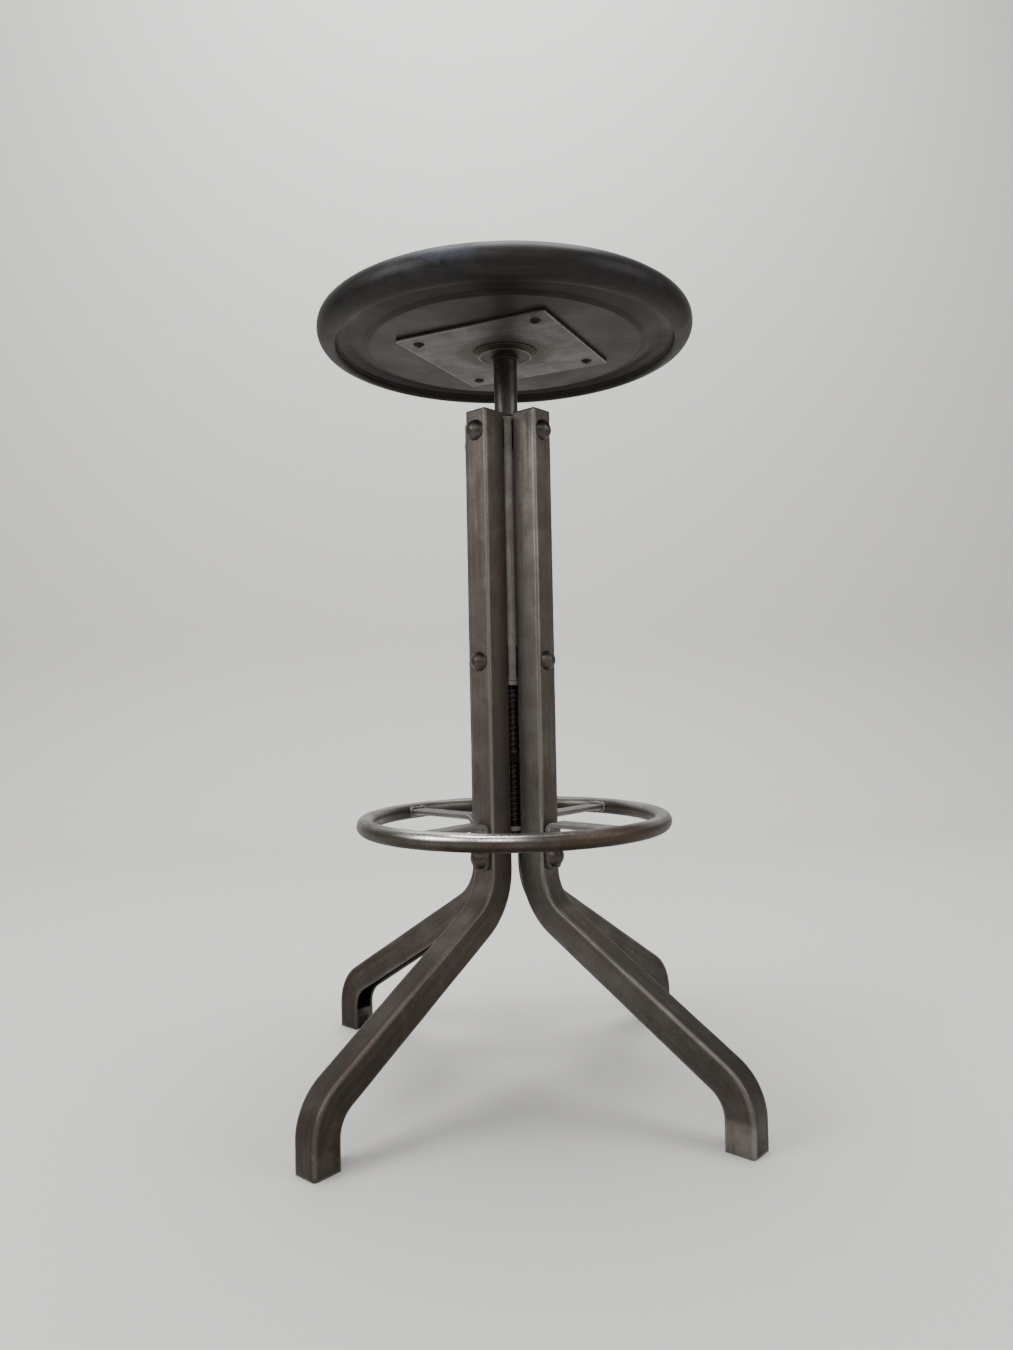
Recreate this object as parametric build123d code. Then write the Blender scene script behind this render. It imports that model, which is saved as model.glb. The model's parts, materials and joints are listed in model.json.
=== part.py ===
from build123d import *
import math
import os

# A screw stool: a wooden seat on a steel spindle, which a nut raises and lowers in a column of four
# channel legs, with a round-bar footrest ring. Sizes are in millimetres. The origin is on the floor
# under the spindle's axis, +Z is up and the front is -Y. The rest pose has the seat SEAT_TOP high.

# Seat, turned from one board
SEAT_TOP = 711.5
SEAT_RADIUS = 175.0
RIM_ROUND = 15.5  # radius of the bullnose round the rim
DISH_DEPTH = 4.5
DISH_RADIUS = 148.0
LIP_RADIUS = 156.2  # the fine step inside the rim, underneath
DISC_RADIUS = 126.8  # the flat disc in the middle, underneath
DISC_Z = 683.5

# Plate, screws and flange under the seat
PLATE_SIDE = 150.0
PLATE_THICK = 3.0
PLATE_CORNER = 3.0
PLATE_TURN = 59.8  # degrees from +X at rest
SCREW_OFFSET = 59.0
SCREW_HEAD = 5.3  # radius
SCREW_CROWN = 2.6  # height of the head's dome
SCREW_SLOT = 1.4  # depth of its slot
SCREW_SHANK = 2.2
SCREW_LENGTH = 16.0
FLANGE_RADIUS = 30.0
FLANGE_LOW_RADIUS = 24.5  # at the bottom of its bevel
FLANGE_THICK = 4.5
NECK_RADIUS = 12.3
NECK_HEIGHT = 3.0
SPIGOT_RADIUS = 8.0  # the spindle's reduced end, held in flange and plate

# Spindle and the parts that it runs in
SHANK_RADIUS = 11.0
THREAD_RADIUS = 10.0
THREAD_TOP = 448.0
SPINDLE_END = 212.0
RUNNING_GAP = 0.05
TUBE_RADIUS = 17.0
TUBE_BORE = 14.0
BUSH_LIP = 2.0
BUSH_LIP_RADIUS = 16.0
BUSH_LENGTH = 26.0
NUT_FLANGE_RADIUS = 18.0
NUT_FLANGE = 4.0
NUT_BODY = 26.0
NUT_LOW = 366.0

# Stop on the spindle, below the nut
STOP_NUT_LOW = 294.5
STOP_NUT_THICK = 8.0
STOP_NUT_FLATS = 24.0
WASHER_RADIUS = 15.0
WASHER_THICK = 3.0
WASHER_GAP = 0.3  # radial, round the spindle
PIN_RADIUS = 1.25
PIN_GAP = 0.1
PIN_Z = 292.0
PIN_REACH = 12.0

# Legs: one channel each, web outwards, from column to floor
COLUMN_TOP = 618.0
WEB_RADIUS = 43.7  # outer face of the web, from the spindle's axis
FOOT_RADIUS = 246.0
UPPER_CORNER = 176.0  # where the lines of the web's outer face meet
LOWER_CORNER = 52.5
UPPER_BEND = 40.0
LOWER_BEND = 50.0
CHANNEL_WIDTH = 24.5
CHANNEL_DEPTH = 25.7
WALL = 3.0
CHANNEL_ROUND = 2.5  # outside the bends of the section
CHANNEL_FILLET = 1.5  # inside them
LEG_ANGLES = {"rear_right": 45, "rear_left": 135, "front_left": 225, "front_right": 315}
INSERT_HEIGHT = 21.0
FIT_GAP = 0.05

# Rivets, spacers and tie plate
UPPER_RIVET_Z = 599.0
MIDDLE_RIVET_Z = 388.0
FOOTREST_RIVET_Z = 210.5
RIVET_HEAD = 9.5
RIVET_DOME = 7.5
RIVET_SHANK = 4.0
RIVET_GAP = 0.1
RIVET_IN_SPACER = 12.0
TAIL_RADIUS = 6.5
TAIL_THICK = 3.0
SPACER_HEIGHT = 28.0
TIE_TOP = 236.0
TIE_THICK = 4.0
TIE_WIDTH = 16.0
TIE_BEND = 5.0
TIE_HUB = 19.0  # radius of the round middle
TIE_HOLE = 12.5  # radius of the hole that the spindle passes through
TAB_END = 199.0

# Footrest
RING_RADIUS = 138.4
RING_BAR = 8.0  # radius of the round bar
RING_Z = 239.5
SPOKE_WIDTH = 18.0
SPOKE_THICK = 5.0
SPOKE_BEND = 6.0

INNER_WEB = WEB_RADIUS - WALL
INNER_WIDTH = CHANNEL_WIDTH - 2 * WALL
PLATE_LOW = DISC_Z - PLATE_THICK
FLANGE_LOW = PLATE_LOW - FLANGE_THICK
NECK_LOW = FLANGE_LOW - NECK_HEIGHT
TUBE_LOW = NUT_LOW + NUT_FLANGE
TUBE_TOP = COLUMN_TOP - BUSH_LIP


def turned(*outline):
    """A solid of revolution about the spindle's axis, from (radius, height) points and curves."""
    points = [Line(a, b) for a, b in zip(outline, outline[1:] + outline[:1])]
    return revolve(Plane.XZ * make_face(points), Axis.Z)


def tube(radius, bore, low, high):
    """A straight tube on the spindle's axis."""
    return turned((bore, low), (radius, low), (radius, high), (bore, high))


def rod(radius, low, high):
    """A straight round bar on the spindle's axis."""
    return turned((0, low), (radius, low), (radius, high), (0, high))


def strip_along(path, start, width, thickness):
    """A flat strip swept along a path that starts at start and runs level, towards the axis."""
    section = Plane(origin=start, x_dir=(0, 1, 0), z_dir=(-1, 0, 0)) * Rectangle(width, thickness)
    return sweep(section, path)


def at_leg(solid, angle):
    """Turns a solid, drawn with +X pointing outwards, to a leg's direction."""
    return Rot(0, 0, angle) * solid


def at_every_leg(solid):
    """One copy of a solid for each leg, as separate solids."""
    return Compound([at_leg(solid, angle) for angle in LEG_ANGLES.values()])


def radial(solid, distance, height):
    """Lays a solid drawn along +Z so that it points outwards, with its origin at distance."""
    return Pos(distance, 0, height) * Rot(0, 90, 0) * solid


def channel_section():
    """The U of a leg, with the web's outer face at x = 0 and the open side towards -x."""
    outer = Pos(-CHANNEL_DEPTH / 2, 0) * Rectangle(CHANNEL_DEPTH, CHANNEL_WIDTH)
    outer = fillet(outer.vertices().sort_by(Axis.X)[-2:], CHANNEL_ROUND)
    inner = Pos(-CHANNEL_DEPTH / 2 - WALL, 0) * Rectangle(CHANNEL_DEPTH, INNER_WIDTH)
    inner = fillet(inner.vertices().sort_by(Axis.X)[-2:], CHANNEL_FILLET)
    return outer - inner


def leg():
    """One bent channel, drilled for its three rivets."""
    corners = [
        (WEB_RADIUS, COLUMN_TOP),
        (WEB_RADIUS, UPPER_CORNER),
        (FOOT_RADIUS, LOWER_CORNER),
        (FOOT_RADIUS, 0),
    ]
    path = Plane.XZ * FilletPolyline(*corners, radius=[UPPER_BEND, LOWER_BEND])
    top = Plane(origin=(WEB_RADIUS, 0, COLUMN_TOP), x_dir=(1, 0, 0), z_dir=(0, 0, -1))
    body = sweep(top * channel_section(), path)
    drill = Cylinder(RIVET_SHANK + RIVET_GAP, 3 * WALL)
    for height in (UPPER_RIVET_Z, MIDDLE_RIVET_Z, FOOTREST_RIVET_Z):
        body -= radial(drill, WEB_RADIUS, height)
    return body


def channel_block(depth, height):
    """A block that fits a channel, rounded on the web's side like the channel's inner corners."""
    block = Box(depth, INNER_WIDTH - 2 * FIT_GAP, height)
    return fillet(block.edges().filter_by(Axis.Z).sort_by(Axis.X)[-2:], CHANNEL_FILLET)


def foot_insert():
    """The block that fills the end of a leg's channel at the floor."""
    depth = CHANNEL_DEPTH - WALL - FIT_GAP
    middle = FOOT_RADIUS - WALL - depth / 2
    return Pos(middle, 0, INSERT_HEIGHT / 2) * channel_block(depth, INSERT_HEIGHT)


def rivet_head():
    """A dome-headed rivet's head, on the plane z = 0 and pointing along +Z."""
    sphere = (RIVET_HEAD**2 + RIVET_DOME**2) / (2 * RIVET_DOME)
    ball = Pos(0, 0, RIVET_DOME - sphere) * Sphere(sphere)
    return ball & Pos(0, 0, RIVET_DOME) * Box(4 * RIVET_HEAD, 4 * RIVET_HEAD, 2 * RIVET_DOME)


def rivet(grip, tail=0):
    """A rivet that points outwards, with its head on z = 0, and a formed tail if it has one."""
    body = rivet_head() + Pos(0, 0, -grip / 2) * Cylinder(RIVET_SHANK, grip)
    if tail:
        body += Pos(0, 0, -grip - tail / 2) * Cylinder(TAIL_RADIUS, tail)
    return body


def spacer(height):
    """The block between the guide tube and a leg's web, with a blind hole for the rivet."""
    block = Pos(INNER_WEB / 2, 0, height) * channel_block(INNER_WEB, SPACER_HEIGHT)
    block -= rod(TUBE_RADIUS, height - SPACER_HEIGHT, height + SPACER_HEIGHT)
    hole = Cylinder(RIVET_SHANK + RIVET_GAP, 2 * RIVET_IN_SPACER)
    return block - radial(hole, INNER_WEB, height)


def tie_plate():
    """The cross that ties the legs at the footrest: a pierced hub and an arm bent down in each leg."""
    middle = TIE_TOP - TIE_THICK / 2
    tab = INNER_WEB - TIE_THICK / 2
    path = Plane.XZ * FilletPolyline((0, middle), (tab, middle), (tab, TAB_END), radius=TIE_BEND)
    strip = Rectangle(TIE_WIDTH, TIE_THICK)
    strip = fillet(strip.vertices().sort_by(Axis.Y)[-2:], CHANNEL_FILLET)
    arm = sweep(Plane(origin=(0, 0, middle), x_dir=(0, 1, 0), z_dir=(1, 0, 0)) * strip, path)
    arm -= radial(Cylinder(RIVET_SHANK + RIVET_GAP, 3 * TIE_THICK), tab, FOOTREST_RIVET_Z)
    cross = rod(TIE_HUB, TIE_TOP - TIE_THICK, TIE_TOP)
    for angle in (0, 90, 180, 270):
        cross += at_leg(arm, angle)
    return cross - rod(TIE_HOLE, TIE_TOP - 2 * TIE_THICK, TIE_TOP + TIE_THICK)


def footrest_ring():
    """The round-bar ring."""
    return Pos(0, 0, RING_Z) * Torus(RING_RADIUS, RING_BAR)


def spoke():
    """A flat bar from the ring to a leg, bent down into a tab on the web."""
    start = (RING_RADIUS, RING_Z)
    tab = WEB_RADIUS + SPOKE_THICK / 2
    path = Plane.XZ * FilletPolyline(start, (tab, RING_Z), (tab, TAB_END), radius=SPOKE_BEND)
    bar = strip_along(path, (RING_RADIUS, 0, RING_Z), SPOKE_WIDTH, SPOKE_THICK)
    ends = bar.edges().filter_by(Axis.X).sort_by(Axis.Z)[:2]
    bar = fillet(ends, SPOKE_WIDTH / 4)
    bar -= radial(Cylinder(RIVET_SHANK + RIVET_GAP, 3 * SPOKE_THICK), tab, FOOTREST_RIVET_Z)
    return bar - footrest_ring()


def seat_outline():
    """Half of the seat's section, as curves in (radius, height)."""
    bull = SEAT_RADIUS - RIM_ROUND
    bull_z = SEAT_TOP - RIM_ROUND
    turn = math.radians(-68)
    low = (bull + RIM_ROUND * math.cos(turn), bull_z + RIM_ROUND * math.sin(turn))
    step = (LIP_RADIUS + 0.8, DISC_Z + 3)
    cove_start = (LIP_RADIUS, DISC_Z + 4.2)
    cove_middle = (LIP_RADIUS - 9, DISC_Z + 6.2)
    cove_end = (DISC_RADIUS + 5, DISC_Z + 1.8)
    return [
        Line((0, DISC_Z), (0, SEAT_TOP - DISH_DEPTH)),
        ThreePointArc(
            (0, SEAT_TOP - DISH_DEPTH),
            (DISH_RADIUS / 2, SEAT_TOP - 0.75 * DISH_DEPTH),
            (DISH_RADIUS, SEAT_TOP),
        ),
        Line((DISH_RADIUS, SEAT_TOP), (bull, SEAT_TOP)),
        ThreePointArc((bull, SEAT_TOP), (SEAT_RADIUS, bull_z), low),
        ThreePointArc(low, (LIP_RADIUS + 3.6, DISC_Z - 1.7), step),
        Line(step, (LIP_RADIUS, step[1])),
        Line((LIP_RADIUS, step[1]), cove_start),
        ThreePointArc(cove_start, cove_middle, cove_end),
        ThreePointArc(cove_end, (DISC_RADIUS + 2.7, DISC_Z + 0.55), (DISC_RADIUS, DISC_Z)),
        Line((DISC_RADIUS, DISC_Z), (0, DISC_Z)),
    ]


def at_screws(solid):
    """The four places of a solid that is drawn at the seat's axis, as separate solids."""
    corners = [(x, y) for x in (-SCREW_OFFSET, SCREW_OFFSET) for y in (-SCREW_OFFSET, SCREW_OFFSET)]
    return [Rot(0, 0, PLATE_TURN) * Pos(x, y, 0) * solid for x, y in corners]


def seat():
    """The turned wooden disc, drilled for the screws."""
    disc = revolve(Plane.XZ * make_face(seat_outline()), Axis.Z)
    for hole in at_screws(rod(SCREW_SHANK + FIT_GAP, DISC_Z - 1, DISC_Z + SCREW_LENGTH)):
        disc -= hole
    return disc


def screw_sink(grow):
    """The cone of a screw's countersunk head, in the plate's lower face."""
    low = SCREW_HEAD + grow
    neck = SCREW_SHANK + grow
    return turned((0, PLATE_LOW), (low, PLATE_LOW), (neck, DISC_Z), (0, DISC_Z))


def screw():
    """A wood screw with a raised countersunk head, a slot and a pointed end."""
    tip = DISC_Z + SCREW_LENGTH - 0.5
    taper = tip - 4
    shank = turned((0, DISC_Z - 1), (SCREW_SHANK, DISC_Z - 1), (SCREW_SHANK, taper), (0, tip))
    ball = (SCREW_HEAD**2 + SCREW_CROWN**2) / (2 * SCREW_CROWN)
    lowest = PLATE_LOW - SCREW_CROWN
    cap = Pos(0, 0, lowest + ball) * Sphere(ball)
    cap &= Pos(0, 0, lowest) * Box(4 * SCREW_HEAD, 4 * SCREW_HEAD, 2 * SCREW_CROWN)
    slot = Pos(0, 0, lowest) * Box(4 * SCREW_HEAD, 1.2, 2 * SCREW_SLOT)
    return shank + screw_sink(0) + cap - slot


def seat_plate():
    """The square plate, with countersunk holes and a hole for the spindle's spigot."""
    outline = RectangleRounded(PLATE_SIDE, PLATE_SIDE, PLATE_CORNER)
    plate = Pos(0, 0, PLATE_LOW) * Rot(0, 0, PLATE_TURN) * extrude(outline, PLATE_THICK)
    plate -= rod(SPIGOT_RADIUS + FIT_GAP, PLATE_LOW - 1, DISC_Z + 1)
    for hole in at_screws(screw_sink(FIT_GAP)):
        plate -= hole
    return plate


def seat_flange():
    """The bevelled boss under the plate, bored for the spindle's spigot."""
    bore = SPIGOT_RADIUS + FIT_GAP
    return turned(
        (bore, PLATE_LOW),
        (FLANGE_RADIUS, PLATE_LOW),
        (FLANGE_RADIUS, PLATE_LOW - 1),
        (FLANGE_LOW_RADIUS, FLANGE_LOW),
        (NECK_RADIUS, FLANGE_LOW),
        (NECK_RADIUS, NECK_LOW),
        (bore, NECK_LOW),
    )


def spindle():
    """The turned bar: spigot, smooth shank and, as a plain cylinder at its crests, the thread."""
    chamfer = 1.5
    bar = turned(
        (0, SPINDLE_END),
        (THREAD_RADIUS - chamfer, SPINDLE_END),
        (THREAD_RADIUS, SPINDLE_END + chamfer),
        (THREAD_RADIUS, THREAD_TOP),
        (SHANK_RADIUS, THREAD_TOP + 1),
        (SHANK_RADIUS, NECK_LOW),
        (SPIGOT_RADIUS, NECK_LOW),
        (SPIGOT_RADIUS, DISC_Z),
        (0, DISC_Z),
    )
    return bar - pin_bar(PIN_RADIUS + PIN_GAP, 2 * THREAD_RADIUS)


def pin_bar(radius, half_length):
    """A round bar across the spindle where the split pin goes."""
    return Pos(0, 0, PIN_Z) * Rot(0, 90, 0) * Cylinder(radius, 2 * half_length)


def split_pin():
    """The pin through the spindle that locks the stop nut, with its eye outside."""
    eye = Pos(PIN_REACH + PIN_RADIUS, 0, PIN_Z) * Torus(2 * PIN_RADIUS, PIN_RADIUS)
    return pin_bar(PIN_RADIUS, PIN_REACH) + eye


def upper_bush():
    """The lipped bush in the top of the guide tube, in which the smooth shank runs."""
    bore = SHANK_RADIUS + RUNNING_GAP
    return turned(
        (bore, TUBE_TOP - BUSH_LENGTH),
        (TUBE_BORE, TUBE_TOP - BUSH_LENGTH),
        (TUBE_BORE, TUBE_TOP),
        (BUSH_LIP_RADIUS, TUBE_TOP),
        (BUSH_LIP_RADIUS, COLUMN_TOP),
        (bore, COLUMN_TOP),
    )


def spindle_nut():
    """The flanged nut in the bottom of the guide tube, bored at the thread's crests."""
    bore = THREAD_RADIUS + RUNNING_GAP
    return turned(
        (bore, NUT_LOW),
        (NUT_FLANGE_RADIUS, NUT_LOW),
        (NUT_FLANGE_RADIUS, TUBE_LOW),
        (TUBE_BORE, TUBE_LOW),
        (TUBE_BORE, TUBE_LOW + NUT_BODY),
        (bore, TUBE_LOW + NUT_BODY),
    )


def stop_nut():
    """The hexagonal nut on the thread, part-way up from the spindle's end."""
    hexagon = RegularPolygon(STOP_NUT_FLATS / 2, 6, major_radius=False) - Circle(THREAD_RADIUS)
    return Pos(0, 0, STOP_NUT_LOW) * extrude(hexagon, STOP_NUT_THICK)


def stop_washer():
    """The loose washer that lies on the stop nut."""
    low = STOP_NUT_LOW + STOP_NUT_THICK
    return tube(WASHER_RADIUS, THREAD_RADIUS + WASHER_GAP, low, low + WASHER_THICK)


def nodes():
    """Every sub-part, by the name of its node."""
    parts = {
        "seat": seat(),
        "seat_plate": seat_plate(),
        "seat_screws": Compound(at_screws(screw())),
        "seat_flange": seat_flange(),
        "spindle": spindle(),
        "stop_nut": stop_nut(),
        "split_pin": split_pin(),
        "stop_washer": stop_washer(),
        "guide_tube": tube(TUBE_RADIUS, TUBE_BORE, TUBE_LOW, TUBE_TOP),
        "upper_bush": upper_bush(),
        "spindle_nut": spindle_nut(),
        "upper_spacers": at_every_leg(spacer(UPPER_RIVET_Z)),
        "middle_spacers": at_every_leg(spacer(MIDDLE_RIVET_Z)),
        "tie_plate": at_leg(tie_plate(), 45),
        "footrest_ring": footrest_ring(),
    }
    in_spacer = rivet(WALL + RIVET_IN_SPACER - FIT_GAP)
    parts["upper_rivets"] = at_every_leg(radial(in_spacer, WEB_RADIUS, UPPER_RIVET_Z))
    parts["middle_rivets"] = at_every_leg(radial(in_spacer, WEB_RADIUS, MIDDLE_RIVET_Z))
    through = rivet(SPOKE_THICK + WALL + TIE_THICK, TAIL_THICK)
    tab_face = WEB_RADIUS + SPOKE_THICK
    parts["footrest_rivets"] = at_every_leg(radial(through, tab_face, FOOTREST_RIVET_Z))
    for place, angle in LEG_ANGLES.items():
        parts[f"leg_{place}"] = at_leg(leg(), angle)
        parts[f"foot_insert_{place}"] = at_leg(foot_insert(), angle)
        parts[f"footrest_spoke_{place}"] = at_leg(spoke(), angle)
    return parts


os.makedirs("parts", exist_ok=True)
for name, solid in nodes().items():
    export_step(solid, f"parts/{name}.step")
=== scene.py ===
import json
import math

import bmesh
import bpy
import numpy as np
from mathutils import Matrix, Vector, noise


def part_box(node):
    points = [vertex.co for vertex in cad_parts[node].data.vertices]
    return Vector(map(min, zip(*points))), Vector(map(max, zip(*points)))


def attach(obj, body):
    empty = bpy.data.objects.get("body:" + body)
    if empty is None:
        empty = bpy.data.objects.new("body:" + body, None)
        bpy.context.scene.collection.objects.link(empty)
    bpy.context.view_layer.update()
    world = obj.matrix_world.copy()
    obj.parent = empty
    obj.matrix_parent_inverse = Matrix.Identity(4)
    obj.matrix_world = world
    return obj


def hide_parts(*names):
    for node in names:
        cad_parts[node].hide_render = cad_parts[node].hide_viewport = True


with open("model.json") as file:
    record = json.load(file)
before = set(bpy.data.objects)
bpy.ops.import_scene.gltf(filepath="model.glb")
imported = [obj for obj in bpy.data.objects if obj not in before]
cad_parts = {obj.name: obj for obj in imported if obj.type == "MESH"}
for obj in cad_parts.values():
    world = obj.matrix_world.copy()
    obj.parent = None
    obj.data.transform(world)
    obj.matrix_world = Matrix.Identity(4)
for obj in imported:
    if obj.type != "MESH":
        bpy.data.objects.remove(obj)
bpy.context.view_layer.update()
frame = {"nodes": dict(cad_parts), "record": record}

# A screw stool with a round wooden seat, a steel spindle, four channel legs and a footrest ring.
# Everything is in metres, in the frame's axes: +Z up, the front is -Y, the spindle is on the Z axis.

MM = 0.001
LEG_ANGLES = {"rear_right": 45, "rear_left": 135, "front_left": 225, "front_right": 315}


def size_of(node):
    """A CAD node's lowest corner, highest corner and middle."""
    low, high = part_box(node)
    return low, high, (low + high) / 2


# Legs: one channel each, with the web outwards
COLUMN_TOP = size_of("leg_front_left")[1].z
WEB_RADIUS = 43.7 * MM
FOOT_RADIUS = 246 * MM
UPPER_CORNER = 176 * MM
LOWER_CORNER = 52.5 * MM
UPPER_BEND = 40 * MM
LOWER_BEND = 50 * MM
CHANNEL_WIDTH = 24.5 * MM
CHANNEL_DEPTH = 25.7 * MM
WALL = 3 * MM
CHANNEL_ROUND = 2.5 * MM
CHANNEL_FILLET = 1.5 * MM
FREE_EDGE = 1.1 * MM
INSERT_TOP = size_of("foot_insert_front_left")[1].z
# How brown each leg's web, right flange and left flange are, seen from outside
LEG_STAINS = {
    "front_left": (0.2, 0.7, 0.2),
    "front_right": (0.3, 0.2, -0.2),
    "rear_left": (0.1, 0.4, 0.5),
    "rear_right": (0.5, 0.2, 0.3),
}

# Footrest
RING_TOP = size_of("footrest_ring")[1]
RING_BAR = (RING_TOP.z - size_of("footrest_ring")[0].z) / 2
RING_Z = RING_TOP.z - RING_BAR
RING_RADIUS = RING_TOP.x - RING_BAR
SPOKE_WIDTH = 18 * MM
SPOKE_THICK = 5 * MM
TAB_END = size_of("footrest_spoke_front_left")[0].z

# Rivets
RIVET_ROWS = {
    "upper_rivets": (size_of("upper_rivets")[2].z, WEB_RADIUS, 9.5 * MM),
    "middle_rivets": (size_of("middle_rivets")[2].z, WEB_RADIUS, 8.7 * MM),
    "footrest_rivets": (size_of("footrest_rivets")[2].z, WEB_RADIUS + SPOKE_THICK, 9.5 * MM),
}
RIVET_DOME = 7.4 * MM
RIVET_SHANK = 4 * MM

# Seat
SEAT_TOP = size_of("seat")[1].z
SEAT_RADIUS = size_of("seat")[1].x
DISC_Z = size_of("seat_plate")[1].z
PLATE_LOW = size_of("seat_plate")[0].z
DISH_RADIUS = 148 * MM
DISH_DEPTH = 4.5 * MM
LIP_RADIUS = 156.2 * MM
DISC_RADIUS = 126.8 * MM

# Plate and boss under the seat
PLATE_SIDE = 150 * MM
PLATE_CORNER = 3 * MM
PLATE_TURN = 59.8
# Circles round the boss on the plate's underside, as (radius, how much painted shade darkens and browns it)
PLATE_SHADE = ((20 * MM, 3.0), (31 * MM, 3.0), (38 * MM, 1.2), (48 * MM, 0.0))
SPIGOT_RADIUS = 8 * MM
NECK_RADIUS = 12.3 * MM
NECK_HEIGHT = 3 * MM
BOSS_FACE = 24.3 * MM
# Between these radii, on its bevel, the boss is only lightly shaded and stays rubbed; painted shade darkens
# the rest of it
BOSS_BEVEL = (23.2 * MM, 26 * MM)

# The plate's screws: half the side of their square, and their heads, slots and shanks
SCREW_OFFSET = 59 * MM
SCREW_HEAD = 5.3 * MM
SCREW_CROWN = 2.6 * MM
SCREW_SLOT = 1.4 * MM
SLOT_WIDTH = 1.2 * MM
SCREW_SHANK = 2.2 * MM

# Spindle and what it runs in
SPINDLE_END = size_of("spindle")[0].z
SHANK_RADIUS = size_of("spindle")[1].x
THREAD_RADIUS = 10 * MM
THREAD_TOP = 448 * MM
THREAD_PITCH = 5 * MM
THREAD_DEPTH = 1.9 * MM
STEPS_A_TURN = 11
NECK_LOW = size_of("seat_flange")[0].z
TUBE_BORE = 14 * MM
INSIDE_TUBE = 13.9 * MM
BUSH_BORE = 11.05 * MM
BUSH_LIP = 2 * MM
NUT_BORE = 10.05 * MM
NUT_FLANGE = 4 * MM
WASHER_BORE = 10.3 * MM

# Where the footrest is rubbed bright and carries a painted highlight, where it is rusty, and where
# the seat's rim gets a painted bluish-grey sheen, in degrees from +X, and how far each place reaches, in
# radians
POLISH_AND_HIGHLIGHT_AT = 247
RUSTY_AT = 300
RIM_SHEEN_AT = 247
RING_REACH = 0.36
RIM_SHEEN_REACH = 0.21

# Steel is kicked pale below the first of these heights, and not above the second
KICKED = (18 * MM, 55 * MM)

# How far apart in the noise two pieces with different seeds lie
SEED_SHIFT = 0.37


# ---------------------------------------------------------------- outlines

# A bend this gentle is neither rubbed nor darkened
SOFT_BEND = 30 * MM


def ramp(value, low, high):
    """0 below low, 1 above high, and even between them."""
    return min(1.0, max(0.0, (value - low) / (high - low)))


def rectangle(low, high, half, rounding):
    """The corners of a rectangle from low to high one way and from -half to half the other."""
    return [(high, -half, rounding), (high, half, rounding), (low, half, rounding), (low, -half, rounding)]


def arc_points(corner, before, after, radius, step):
    """The points of the arc that rounds one corner, and which way it turns, +1 for left.

    A gentle bend counts as 0.
    """
    into = (corner - before) / np.linalg.norm(corner - before)
    out = (after - corner) / np.linalg.norm(after - corner)
    cross = into[0] * out[1] - into[1] * out[0]
    turn = math.atan2(cross, float(into @ out))
    if radius <= 0 or abs(turn) < 1e-4:
        return [corner], 0
    reach = radius * math.tan(abs(turn) / 2)
    side = math.copysign(1, turn)
    centre = corner - into * reach + side * radius * np.array((-into[1], into[0]))
    first = corner - into * reach - centre
    count = max(4, math.ceil(abs(turn) * radius / step))
    found = []
    for i in range(count + 1):
        a = turn * i / count
        c, s = math.cos(a), math.sin(a)
        found.append(centre + np.array((c * first[0] - s * first[1], s * first[0] + c * first[1])))
    return found, side if radius < SOFT_BEND else 0


def rounded(corners, step, closed=True):
    """Points along a polygon whose corners are (x, y, radius), and at each point how it bends."""
    flat = [np.array(c[:2], float) for c in corners]
    radii = [c[2] if len(c) > 2 else 0 for c in corners]
    count = len(flat)
    stretches = []
    for i, corner in enumerate(flat):
        if closed or 0 < i < count - 1:
            stretches.append(arc_points(corner, flat[i - 1], flat[(i + 1) % count], radii[i], step))
        else:
            stretches.append(([corner], 0))
    points, bends = [], []
    for i, (arc, side) in enumerate(stretches):
        points += arc
        middle = np.linspace(-1, 1, len(arc)) if len(arc) > 1 else np.zeros(1)
        bends += list(side * (1 - middle**2))
        if not closed and i == count - 1:
            break
        start, end = arc[-1], stretches[(i + 1) % count][0][0]
        pieces = max(1, math.ceil(np.linalg.norm(end - start) / step))
        for k in range(1, pieces):
            points.append(start + (end - start) * k / pieces)
            bends.append(0)
    return np.array(points), np.array(bends, float)


def lengths(points):
    """How far along a line each of its points is."""
    steps = np.linalg.norm(np.diff(points, axis=0), axis=1)
    return np.concatenate(([0], np.cumsum(steps)))


def spread(bends, points, reach=MM):
    """The bends of a closed outline, blurred over reach, so that wear fades out beside an edge."""
    far = np.linalg.norm(points[:, None] - points[None], axis=2)
    weight = np.exp(-((far / reach) ** 2))
    way = (weight @ bends) / np.maximum(weight @ np.abs(bends), 1e-9)
    return way * (weight * np.abs(bends)).max(axis=1)


def outward(points):
    """The outward normal at each point of a closed, counter-clockwise outline."""
    along = np.roll(points, -1, axis=0) - np.roll(points, 1, axis=0)
    along /= np.maximum(np.linalg.norm(along, axis=1, keepdims=True), 1e-12)
    return np.column_stack((along[:, 1], -along[:, 0]))


# ---------------------------------------------------------------- meshes


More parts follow.
